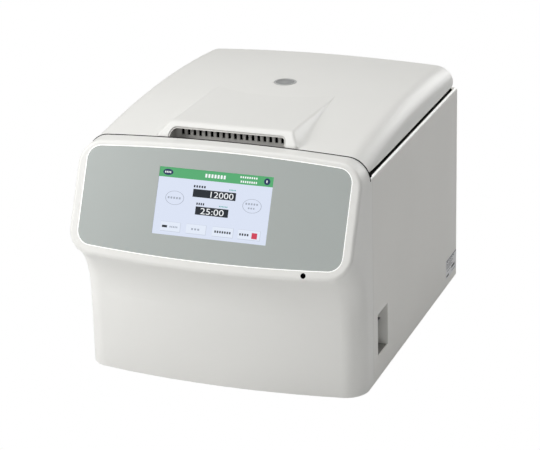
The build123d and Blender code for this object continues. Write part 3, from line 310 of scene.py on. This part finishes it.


# Painted shadow: dead black strips fill the slits round the lid, which lie in shade: along both sides, in
# the nooks at its front corners, and over the head's rear edge
gapShade = {"sideIn": 1.3, "sideThick": 5.0, "low": 293.1, "high": 295.7, "rear": 229.0, "front": -157.3,
        "headBack": -160.35, "lidFront": -159.05, "headDeep": -0.4, "headTall": 7.0, "crownRadius": 2909.0,
        "shoulder": 30.0, "halfWidth": 192.0, "crown": 325.51, "crownSteps": 24, "shoulderSteps": 16,
        "nookOut": (0.05, 1.6),  # from the lid's widest place
        "nook": ((-160.35, 293.1), (-160.35, 304.0), (-159.3, 301.5), (-157.8, 299.0), (-155.6, 297.2),
                 (-152.0, 295.7), (-149.0, 295.7), (-149.0, 293.1))}  # its outline: back and up


def crownPoints(look, inset):
    half = look["halfWidth"] - inset
    bend = look["shoulder"] - inset
    big = look["crownRadius"] - inset
    centreZ = look["crown"] - look["crownRadius"]
    bendX = half - bend
    bendZ = centreZ + math.sqrt((big - bend) ** 2 - bendX ** 2)
    start = math.atan2(bendX, bendZ - centreZ)
    points = []
    for step in range(look["crownSteps"] + 1):
        turn = start * step / look["crownSteps"]
        points.append((big * math.sin(turn), centreZ + big * math.cos(turn)))
    for step in range(1, look["shoulderSteps"] + 1):
        turn = start + (math.pi / 2 - start) * step / look["shoulderSteps"]
        points.append((bendX + bend * math.sin(turn), bendZ + bend * math.cos(turn)))
    points.append((half, look["low"]))
    return [(-x, z) for x, z in reversed(points[1:])] + points


def makeGapShades(look):
    lidHigh = Vector(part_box("lid_shell")[1]) / mm
    bm = bmesh.new()
    for side in (-1, 1):
        outer = lidHigh.x - look["sideIn"]
        x0, x1 = sorted((side * (outer - look["sideThick"]), side * outer))
        addBlock(bm, (x0 * mm, look["front"] * mm, look["low"] * mm),
                 (x1 * mm, look["rear"] * mm, look["high"] * mm))
        near, beyond = ([bm.verts.new((side * (lidHigh.x + out) * mm, y * mm, z * mm))
                         for y, z in look["nook"]] for out in look["nookOut"])
        bm.faces.new(near)
        bm.faces.new(beyond[::-1])
        for corner in range(len(near)):
            after = (corner + 1) % len(near)
            bm.faces.new((near[corner], near[after], beyond[after], beyond[corner]))
    addMesh("sideGapShades", bm, "shadeAndJointBlack", "cabinet")
    bm = bmesh.new()
    upper = crownPoints(look, look["headDeep"])
    lower = crownPoints(look, look["headTall"])
    loops = []
    for points, y in ((lower, look["headBack"]), (upper, look["headBack"]), (upper, look["lidFront"]),
                      (lower, look["lidFront"])):
        loops.append([bm.verts.new((x * mm, y * mm, z * mm)) for x, z in points])
    for first, second in zip(loops, loops[1:] + loops[:1]):
        for step in range(len(first) - 1):
            bm.faces.new((first[step], first[step + 1], second[step + 1], second[step]))
    addMesh("headGapShade", bm, "shadeAndJointBlack", "cabinet")


makeGapShades(gapShade)

# Fold lines of the side panels: a glowing strip under the lid, a painted highlight on the panel's folded
# edge, and the dark seam to the moulding
folds = {"out": 191.3, "in": 189.5, "low": 292.4, "top": 294.2, "front": -156.0, "rear": 241.5,
         "seam": -152.16, "seamOut": 191.85, "seamIn": 190.65, "seamLow": 12.0, "seamHigh": 291.0,
         "seamHalf": 0.19}


def makeFolds(look):
    bm = bmesh.new()
    seams = bmesh.new()
    for side in (-1, 1):
        x0, x1 = sorted((side * look["in"], side * look["out"]))
        addBlock(bm, (x0 * mm, look["front"] * mm, look["low"] * mm),
                 (x1 * mm, look["rear"] * mm, look["top"] * mm))
        x0, x1 = sorted((side * look["seamIn"], side * look["seamOut"]))
        addBlock(seams, (x0 * mm, (look["seam"] - look["seamHalf"]) * mm, look["seamLow"] * mm),
                 (x1 * mm, (look["seam"] + look["seamHalf"]) * mm, look["seamHigh"] * mm))
    addMesh("foldEdgeHighlights", bm, "glowingHighlightPaint", "cabinet")
    addMesh("seamLines", seams, "shadeAndJointBlack", "cabinet")


makeFolds(folds)

# Painted shade: a grey plate on the floor of the switch recess, darker where the recess lies in shade,
# measured from the faces of its housing
recessFloorShade = {"back": 3.0, "sides": 4.6, "mouth": 0.3, "low": 4.05, "high": 4.3}


def makeRecessFloorShade(look):
    low, high = (Vector(corner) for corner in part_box("switch_recess"))
    bm = bmesh.new()
    addBlock(bm, (low.x + look["back"] * mm, low.y + look["sides"] * mm, low.z + look["low"] * mm),
             (high.x - look["mouth"] * mm, high.y - look["sides"] * mm, low.z + look["high"] * mm))
    addMesh("recessFloorShade", bm, "recessShadeGrey", "cabinet")


makeRecessFloorShade(recessFloorShade)

# Plain bars on the rating plate: shares of its length and height, from its front lower corner
plateMarks = {
    "proud": 0.05,
    "barShare": 0.7,
    "frame": ((0.03, 0.97, 0.93, 0.975), (0.03, 0.045, 0.5, 0.93)),
    "rows": ((0.10, 0.80, 0.84, 0.895, 5), (0.10, 0.62, 0.74, 0.775, 6), (0.10, 0.70, 0.66, 0.695, 7),
             (0.10, 0.55, 0.58, 0.615, 5), (0.10, 0.66, 0.50, 0.535, 6), (0.10, 0.46, 0.36, 0.395, 4),
             (0.52, 0.97, 0.27, 0.40, 1), (0.04, 0.36, 0.08, 0.18, 1), (0.55, 0.90, 0.10, 0.14, 3)),
}


def makePlateMarks(look):
    low, high = (Vector(corner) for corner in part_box("rating_plate"))
    size = high - low
    blocks = list(look["frame"])
    for y0, y1, z0, z1, bars in look["rows"]:
        pitch = (y1 - y0) / bars
        blocks += [(y0 + pitch * bar, y0 + pitch * (bar + look["barShare"]), z0, z1)
                   for bar in range(bars)]
    bm = bmesh.new()
    for y0, y1, z0, z1 in blocks:
        addBlock(bm, (high.x - look["proud"] * mm, low.y + y0 * size.y, low.z + z0 * size.z),
                 (high.x + look["proud"] * mm, low.y + y1 * size.y, low.z + z1 * size.z))
    addMesh("plateMarks", bm, "darkPlastic", "cabinet")


makePlateMarks(plateMarks)
# The seals are painted shadow, the folds carry a painted highlight, and the recess floor is painted shade
print("seals, folds, recess floor and plate marks made")

# Fairing that blends the flanks of the lid's tongue into its dome. The ramp and the fall of the tongue's top
# each run from one setback and height to another.
fairing = {"peak": 339.2, "middle": 62.436, "longRadius": 1784.0, "crossRadius": 2909.0,
           "frontLine": -198.064, "ramp": (39.2, 326.5, 57.0, 340.6), "fall": (57.0, 340.6, 235.0, 337.5),
           "flank": (83.5, 340.6, 1.2),  # ridge's place and height, and its slope
           "ends": (42.0, 176.0), "blend": 9.0, "leastBlend": 0.3, "blendShare": 0.85, "keep": 2.6,
           "pastRidge": 1.6, "overTop": 0.4, "overFoot": 1.2, "buried": 0.08, "along": 90, "across": 26}


def domeHeight(look, x, setback):
    low = look["peak"] - look["longRadius"]
    crown = look["peak"] - look["crossRadius"] + math.sqrt(look["crossRadius"] ** 2 - x ** 2)
    away = look["frontLine"] + setback - look["middle"]
    return low + math.sqrt((crown - low) ** 2 - away ** 2)


def tongueTop(look, setback):
    def line(s0, z0, s1, z1):
        return z0 + (setback - s0) * (z1 - z0) / (s1 - s0)
    return min(line(*look["ramp"]), line(*look["fall"]))


def makeFairing(look):
    ridgeX, ridgeZ, slope = look["flank"]
    first, last = look["ends"]
    bm = bmesh.new()
    for side in (-1, 1):
        rows = []
        for step in range(look["along"] + 1):
            setback = first + (last - first) * step / look["along"]
            ridge = ridgeX + (ridgeZ - tongueTop(look, setback)) / slope
            height = tongueTop(look, setback) - domeHeight(look, ridge, setback)
            room = look["blendShare"] * (height - look["keep"])
            blend = max(look["leastBlend"], min(look["blend"], room))
            foot = ridge + height / slope
            x0 = max(ridge + look["pastRidge"], foot - blend / slope - look["overTop"])
            x1 = foot + blend / slope + look["overFoot"]
            row = []
            for turn in range(look["across"] + 1):
                x = x0 + (x1 - x0) * turn / look["across"]
                dome = domeHeight(look, x, setback)
                flank = ridgeZ - (x - ridgeX) * slope
                reach = max(blend - abs(dome - flank), 0)
                z = max(dome, flank) + reach ** 2 / (4 * blend)
                if turn in (0, look["across"]) or step in (0, look["along"]):
                    z -= look["buried"]
                row.append(bm.verts.new((side * x * mm, (look["frontLine"] + setback) * mm, z * mm)))
            rows.append(row)
        for near, farther in zip(rows, rows[1:]):
            for turn in range(look["across"]):
                four = (near[turn], near[turn + 1], farther[turn + 1], farther[turn])
                bm.faces.new(four if side > 0 else four[::-1])
    piece = addMesh("tongueFairing", bm, "whiteMoulding", "lid")
    for face in piece.data.polygons:
        face.use_smooth = True


makeFairing(fairing)
print("tongue blended into the dome")

# Slope of the panel: which way is up and out on it, and the middle of the glass's outer face
slopedFace = {"tilt": 25.3, "glassThick": 1.8}
tilt = math.radians(slopedFace["tilt"])
faceUp = Vector((0, math.sin(tilt), math.cos(tilt)))
faceOut = Vector((0, -math.cos(tilt), math.sin(tilt)))
glassLow, glassHigh = (Vector(corner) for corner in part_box("touch_screen"))
screenCentre = (glassLow + glassHigh) / 2 + faceOut * slopedFace["glassThick"] * mm / 2

# Painted shade: a dead black sheet behind the slots of the finger pocket, for the shade behind them
slotShade = {"sides": 6.0, "near": 0.4, "thick": 0.8, "top": 6.0, "bottom": 24.0}


def makeSlotShade(look):
    low, high = (Vector(corner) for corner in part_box("lid_handle"))
    bm = bmesh.new()
    addBlock(bm, (low.x + look["sides"] * mm, high.y + look["near"] * mm, high.z - look["bottom"] * mm),
             (high.x - look["sides"] * mm, high.y + (look["near"] + look["thick"]) * mm,
              high.z - look["top"] * mm))
    addMesh("slotShadeSheet", bm, "shadeAndJointBlack", "lid")


makeSlotShade(slotShade)

# Painted shade: a black sleeve in the lid release hole, and a black lining of the bore that the rod slides
# in, for the shade inside the hole
releaseHole = {"x": 130.9, "down": 75.0, "faceAhead": 1.2, "top": 0.35, "deep": 3.0, "sleeve": (2.75, 3.42),
               "lining": (2.68, 2.78), "front": -243.2, "rodRadius": 2.5, "behindTip": 2.0, "sides": 32}


def addTube(bm, start, end, up, radii, sides):
    along = (end - start).normalized()
    side = along.cross(up)
    inner, outer = radii
    loops = []
    for radius, middle in ((outer, end), (outer, start), (inner, start), (inner, end)):
        turns = (2 * math.pi * step / sides for step in range(sides))
        loops.append([bm.verts.new(middle + radius * mm * (side * math.cos(turn) + up * math.sin(turn)))
                      for turn in turns])
    for first, second in zip(loops, loops[1:] + loops[:1]):
        for step in range(len(first)):
            after = (step + 1) % len(first)
            bm.faces.new((first[step], first[after], second[after], second[step]))


def makeReleaseHoleShade(look):
    bm = bmesh.new()
    face = screenCentre + Vector((look["x"] * mm, 0, 0)) - faceUp * look["down"] * mm
    face += faceOut * look["faceAhead"] * mm
    mouth = face - faceOut * look["top"] * mm
    end = face - faceOut * look["deep"] * mm
    addTube(bm, mouth, end, faceUp, look["sleeve"], look["sides"])
    tip = Vector(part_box("release_rod")[0])
    front = Vector((look["x"] * mm, look["front"] * mm, tip.z + look["rodRadius"] * mm))
    back = Vector((front.x, tip.y + look["behindTip"] * mm, front.z))
    addTube(bm, front, back, Vector((0, 0, 1)), look["lining"], look["sides"])
    addMesh("releaseHoleShade", bm, "shadeAndJointBlack", "cabinet")


makeReleaseHoleShade(releaseHole)

# Painted highlight: a glowing strip on the edge of the moulding where the panel film sits in it
rim = {"gap": 0.1, "wide": 0.95, "proud": 0.42, "sunk": 0.5,
       "weld": 0.001, "atFront": 0.02, "facing": 0.9}  # how the film's front outline is told from the rest


def filmOutline(look):  # the outer edge of the film's front, across and up, and how far out it lies
    film = nodes["control_panel_overlay"]
    bm = bmesh.new()
    bm.from_mesh(film.data)
    bm.transform(film.matrix_world)
    bmesh.ops.remove_doubles(bm, verts=bm.verts, dist=look["weld"] * mm)
    bm.normal_update()
    bm.verts.index_update()
    front = max((vertex.co - screenCentre).dot(faceOut) for vertex in bm.verts)
    flat = {vertex.index: ((vertex.co - screenCentre).x, (vertex.co - screenCentre).dot(faceUp))
            for vertex in bm.verts
            if (vertex.co - screenCentre).dot(faceOut) > front - look["atFront"] * mm}
    edges = [edge for edge in bm.edges if all(vertex.index in flat for vertex in edge.verts)
             and len(edge.link_faces) == 2
             and sum(abs(face.normal.dot(faceOut)) > look["facing"] for face in edge.link_faces) == 1]
    reach = {}
    for edge in edges:
        one, two = (vertex.index for vertex in edge.verts)
        reach.setdefault(one, []).append(two)
        reach.setdefault(two, []).append(one)
    bm.free()
    start = max(reach, key=lambda index: flat[index][0])
    loop = [start, reach[start][0]]
    while loop[-1] != start and len(loop) <= len(reach):
        loop.append(next(index for index in reach[loop[-1]] if index != loop[-2]))
    return [flat[index] for index in loop[:-1]], front


def makeRimHighlight(look):
    outline, front = filmOutline(look)
    bm = bmesh.new()
    rows = []
    for (x0, y0), (x, y), (x1, y1) in zip(outline[-1:] + outline[:-1], outline, outline[1:] + outline[:1]):
        along = Vector((x1 - x0, y1 - y0, 0)).normalized()
        out = Vector((along.y, -along.x, 0))
        if out.dot(Vector((x, y, 0))) < 0:
            out.negate()
        row = []
        for wide, lift in ((look["gap"], -look["sunk"]), (look["gap"], look["proud"]),
                           (look["wide"], look["proud"]), (look["wide"], -look["sunk"])):
            place = Vector((x, y, 0)) + out * wide * mm
            row.append(bm.verts.new(screenCentre + Vector((place.x, 0, 0)) + faceUp * place.y
                                    + faceOut * (front + lift * mm)))
        rows.append(row)
    for near, farther in zip(rows, rows[1:] + rows[:1]):
        for corner in range(4):
            after = (corner + 1) % 4
            bm.faces.new((near[corner], near[after], farther[after], farther[corner]))
    addMesh("panelRimHighlight", bm, "glowingHighlightPaint", "cabinet")


makeRimHighlight(rim)
# The gauze and the release sleeve are painted shade, and the panel rim is a painted highlight
print("gauze, release sleeve and panel rim made")

# Screen image: flat shapes on the glass, laid out in millimetres from its middle
# Rows of bars go from one place to another, so far up, so high, in so many bars
screen = {
    "width": 154.1,
    "height": 85.9,
    "lift": 0.06,  # between one layer of the image and the next
    "headerHeight": 12.7,
    "headerButtons": ((-65.2, 7, 3.9), (68.6, 4.2, 4.2)),
    "headerMarks": ((-69.5, -60.5, 0, 2.2, 4), (-14.5, 14.5, 0, 4.6, 7), (32.5, 56.5, 2.6, 2.4, 8),
                    (33.5, 56.5, -3.0, 2.6, 8), (67.6, 69.8, 0, 3.2, 1)),  # from the header's middle
    "boxes": {"speed": (-28.3, 29.7, 8.4, 18.5), "time": (-22.2, 22.3, -13.6, -3.2)},
    "digits": {"speed": ("12000", -4.3, 26.6, 9.6, 17.2), "time": ("25:00", -15.2, 16.3, -12.4, -4.6)},
    "boxLabels": ((-28.2, -10.8, 21.9, 2.9, 5), (-21.8, -10.2, 0.2, 2.9, 4)),
    "unitLabels": ((20.0, 29.4, 21.5, 1.7, 5), (9.0, 21.0, -0.4, 1.5, 6)),
    "rounds": {"left": (-52.1, 4.6), "right": (52.6, 4.2)},
    "roundHalf": (12.7, 8.9),
    "roundRim": 0.055,
    "roundMarks": {"left": ((-9.5, 9.5, 0, 2.6, 5),),
                   "right": ((-9, 9, 2.4, 2.4, 5), (-5, 5, -3.0, 2.0, 3))},  # from each button's middle
    "keys": {"first": (-66.4, -39.1), "second": (-31.4, -4.2), "third": (4.0, 32.5),
             "fourth": (38.6, 68.5)},
    "keyLow": -38.6,
    "keyHigh": -26.0,
    "keyRim": 0.7,
    "keyTopRim": 0.35,
    "keyMarks": ((-54, -42.5, 0, 2.2, 5), (-24.5, -12, 0, 2.4, 3)),
    "keyWords": ((7, 30, 0, 2.8, 7), (40.5, 54, 0, 2.8, 4)),
    "keySign": (-64.5, -57.5, 1.5),
    "stop": (60.6, -32.8, 3.7),
    "barShare": 0.62,
    "digitSteps": 3,
}
# How fine the screen's dots are, and how its glass takes the room's light
display = {"dots": 4000, "dotDim": 0.97, "glass": 0.02, "strength": 1, "roughness": 0.35, "gloss": 0.12}
glows = {
    "screenGround": (0.70, 0.76, 0.90),
    "screenHeader": (0.085, 0.40, 0.16),
    "screenInk": (0.006, 0.012, 0.02),
    "screenWhite": (0.92, 0.95, 0.97),
    "screenGrey": (0.36, 0.40, 0.48),
    "screenFaint": (0.56, 0.61, 0.72),
    "screenKey": (0.76, 0.82, 0.93),
    "screenTeal": (0.10, 0.42, 0.40),
    "screenRed": (0.62, 0.045, 0.09),
    "screenNavy": (0.012, 0.03, 0.10),
}


def onScreen(across, up, layer):
    lift = layer * screen["lift"]
    return screenCentre + Vector((across * mm, 0, 0)) + faceUp * up * mm + faceOut * lift * mm


def glowing(name, colour, look):
    glow, tree, body = newMaterial(name)
    grid = tree.nodes.new("ShaderNodeTexChecker")
    places = tree.nodes.new("ShaderNodeTexCoord")
    grid.inputs["Scale"].default_value = look["dots"]
    grid.inputs["Color1"].default_value = (*colour, 1)
    grid.inputs["Color2"].default_value = (*(channel * look["dotDim"] for channel in colour), 1)
    tree.links.new(places.outputs["Object"], grid.inputs["Vector"])
    tree.links.new(grid.outputs["Color"], body.inputs["Emission Color"])
    body.inputs["Base Color"].default_value = (look["glass"], look["glass"], look["glass"], 1)
    body.inputs["Emission Strength"].default_value = look["strength"]
    body.inputs["Roughness"].default_value = look["roughness"]
    body.inputs["Specular IOR Level"].default_value = look["gloss"]
    return glow


for name, colour in glows.items():
    material[name] = glowing(name, colour, display)


def flatShapes(name, outlines, layer, finish):
    bm = bmesh.new()
    for outline in outlines:
        bm.faces.new([bm.verts.new(onScreen(across, up, layer)) for across, up in outline])
    addMesh(name, bm, finish, "cabinet")


def rectangle(x0, x1, y0, y1):
    return [(x0, y0), (x1, y0), (x1, y1), (x0, y1)]


def oval(x, y, halfWidth, halfHeight, steps=64):
    turns = [2 * math.pi * step / steps for step in range(steps)]
    return [(x + halfWidth * math.cos(turn), y + halfHeight * math.sin(turn)) for turn in turns]


def outlineStrips(outline, share, middle):
    inner = [(x + (middle[0] - x) * share, y + (middle[1] - y) * share) for x, y in outline]
    pairs = zip(outline, outline[1:] + outline[:1], inner[1:] + inner[:1], inner)
    return [list(four) for four in pairs]


def textBars(rows, x=0, y=0):
    shapes = []
    for x0, x1, up, height, bars in rows:
        pitch = (x1 - x0) / bars
        for bar in range(bars):
            left = x + x0 + pitch * bar
            right = x + x0 + pitch * (bar + screen["barShare"])
            shapes.append(rectangle(left, right, y + up - height / 2, y + up + height / 2))
    return shapes


def digitsPiece(name, words, x0, x1, y0, y1, layer, finish):
    curve = bpy.data.curves.new(name + "Text", "FONT")
    curve.body = words
    curve.resolution_u = screen["digitSteps"]
    text = bpy.data.objects.new(name + "Text", curve)
    bpy.context.scene.collection.objects.link(text)
    bpy.context.view_layer.update()
    mesh = bpy.data.meshes.new_from_object(text)
    bpy.data.objects.remove(text)
    xs = [vertex.co.x for vertex in mesh.vertices]
    ys = [vertex.co.y for vertex in mesh.vertices]
    for vertex in mesh.vertices:
        across = x0 + (vertex.co.x - min(xs)) / (max(xs) - min(xs)) * (x1 - x0)
        up = y0 + (vertex.co.y - min(ys)) / (max(ys) - min(ys)) * (y1 - y0)
        vertex.co = onScreen(across, up, layer)
    mesh.materials.clear()
    mesh.materials.append(material[finish])
    piece = bpy.data.objects.new(name, mesh)
    bpy.context.scene.collection.objects.link(piece)
    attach(piece, "cabinet")


def makeScreen(look):
    halfWidth = look["width"] / 2
    halfHeight = look["height"] / 2
    headerLow = halfHeight - look["headerHeight"]
    headerMiddle = halfHeight - look["headerHeight"] / 2
    below = rectangle(-halfWidth, halfWidth, -halfHeight, headerLow)
    header = rectangle(-halfWidth, halfWidth, headerLow, halfHeight)
    flatShapes("screenGround", [below], 1, "screenGround")
    flatShapes("screenHeader", [header], 1, "screenHeader")
    buttons = [oval(x, headerMiddle, wide, tall) for x, wide, tall in look["headerButtons"]]
    flatShapes("headerButtons", buttons, 2, "screenNavy")
    flatShapes("headerMarks", textBars(look["headerMarks"], y=headerMiddle), 3, "screenWhite")
    flatShapes("numberBoxes", [rectangle(*box) for box in look["boxes"].values()], 2, "screenInk")
    for name, number in look["digits"].items():
        digitsPiece(name + "Digits", *number, 3, "screenWhite")
    flatShapes("boxLabels", textBars(look["boxLabels"]), 2, "screenInk")
    flatShapes("unitLabels", textBars(look["unitLabels"]), 2, "screenTeal")
    rounds = []
    marks = []
    for side, (x, y) in look["rounds"].items():
        rounds += outlineStrips(oval(x, y, *look["roundHalf"]), look["roundRim"], (x, y))
        marks += textBars(look["roundMarks"][side], x, y)
    flatShapes("roundButtons", rounds, 2, "screenGrey")
    flatShapes("roundLabels", marks, 2, "screenGrey")
    low = look["keyLow"]
    high = look["keyHigh"]
    wide = look["keyRim"]
    keys = [rectangle(x0, x1, low, high) for x0, x1 in look["keys"].values()]
    flatShapes("softKeys", keys, 2, "screenKey")
    rims = []
    for x0, x1 in look["keys"].values():
        rims += [rectangle(x0, x1, low, low + wide), rectangle(x1 - wide, x1, low + wide, high),
                 rectangle(x0, x1 - wide, high - look["keyTopRim"], high)]
    flatShapes("softKeyRims", rims, 3, "screenFaint")
    keyMiddle = (low + high) / 2
    flatShapes("softKeyMarks", textBars(look["keyMarks"], y=keyMiddle), 3, "screenGrey")
    x0, x1, half = look["keySign"]
    sign = rectangle(x0, x1, keyMiddle - half, keyMiddle + half)
    flatShapes("softKeyWords", textBars(look["keyWords"], y=keyMiddle) + [sign], 3, "screenInk")
    x, y, half = look["stop"]
    flatShapes("stopMark", [rectangle(x - half, x + half, y - half, y + half)], 3, "screenRed")


makeScreen(screen)
print("screen image made")

# Floor and what the camera sees behind
ground = {"half": 6.0, "colour": (0.80, 0.80, 0.80), "roughness": 0.9}


def makeFloor(look):
    paper, tree, body = newMaterial("paleFloor")
    body.inputs["Base Color"].default_value = (*look["colour"], 1)
    body.inputs["Roughness"].default_value = look["roughness"]
    glow = tree.nodes.new("ShaderNodeEmission")
    glow.inputs["Color"].default_value = (1, 1, 1, 1)
    path = tree.nodes.new("ShaderNodeLightPath")
    mix = tree.nodes.new("ShaderNodeMixShader")
    out = next(node for node in tree.nodes if node.type == "OUTPUT_MATERIAL")
    tree.links.new(path.outputs["Is Camera Ray"], mix.inputs[0])
    tree.links.new(body.outputs[0], mix.inputs[1])
    tree.links.new(glow.outputs[0], mix.inputs[2])
    tree.links.new(mix.outputs[0], out.inputs[0])
    bm = bmesh.new()
    half = look["half"]
    bm.faces.new([bm.verts.new((x, y, 0)) for x, y in rectangle(-half, half, -half, half)])
    mesh = bpy.data.meshes.new("floor")
    bm.to_mesh(mesh)
    bm.free()
    floor = bpy.data.objects.new("floor", mesh)
    mesh.materials.append(paper)
    bpy.context.scene.collection.objects.link(floor)


makeFloor(ground)
print("floor laid")
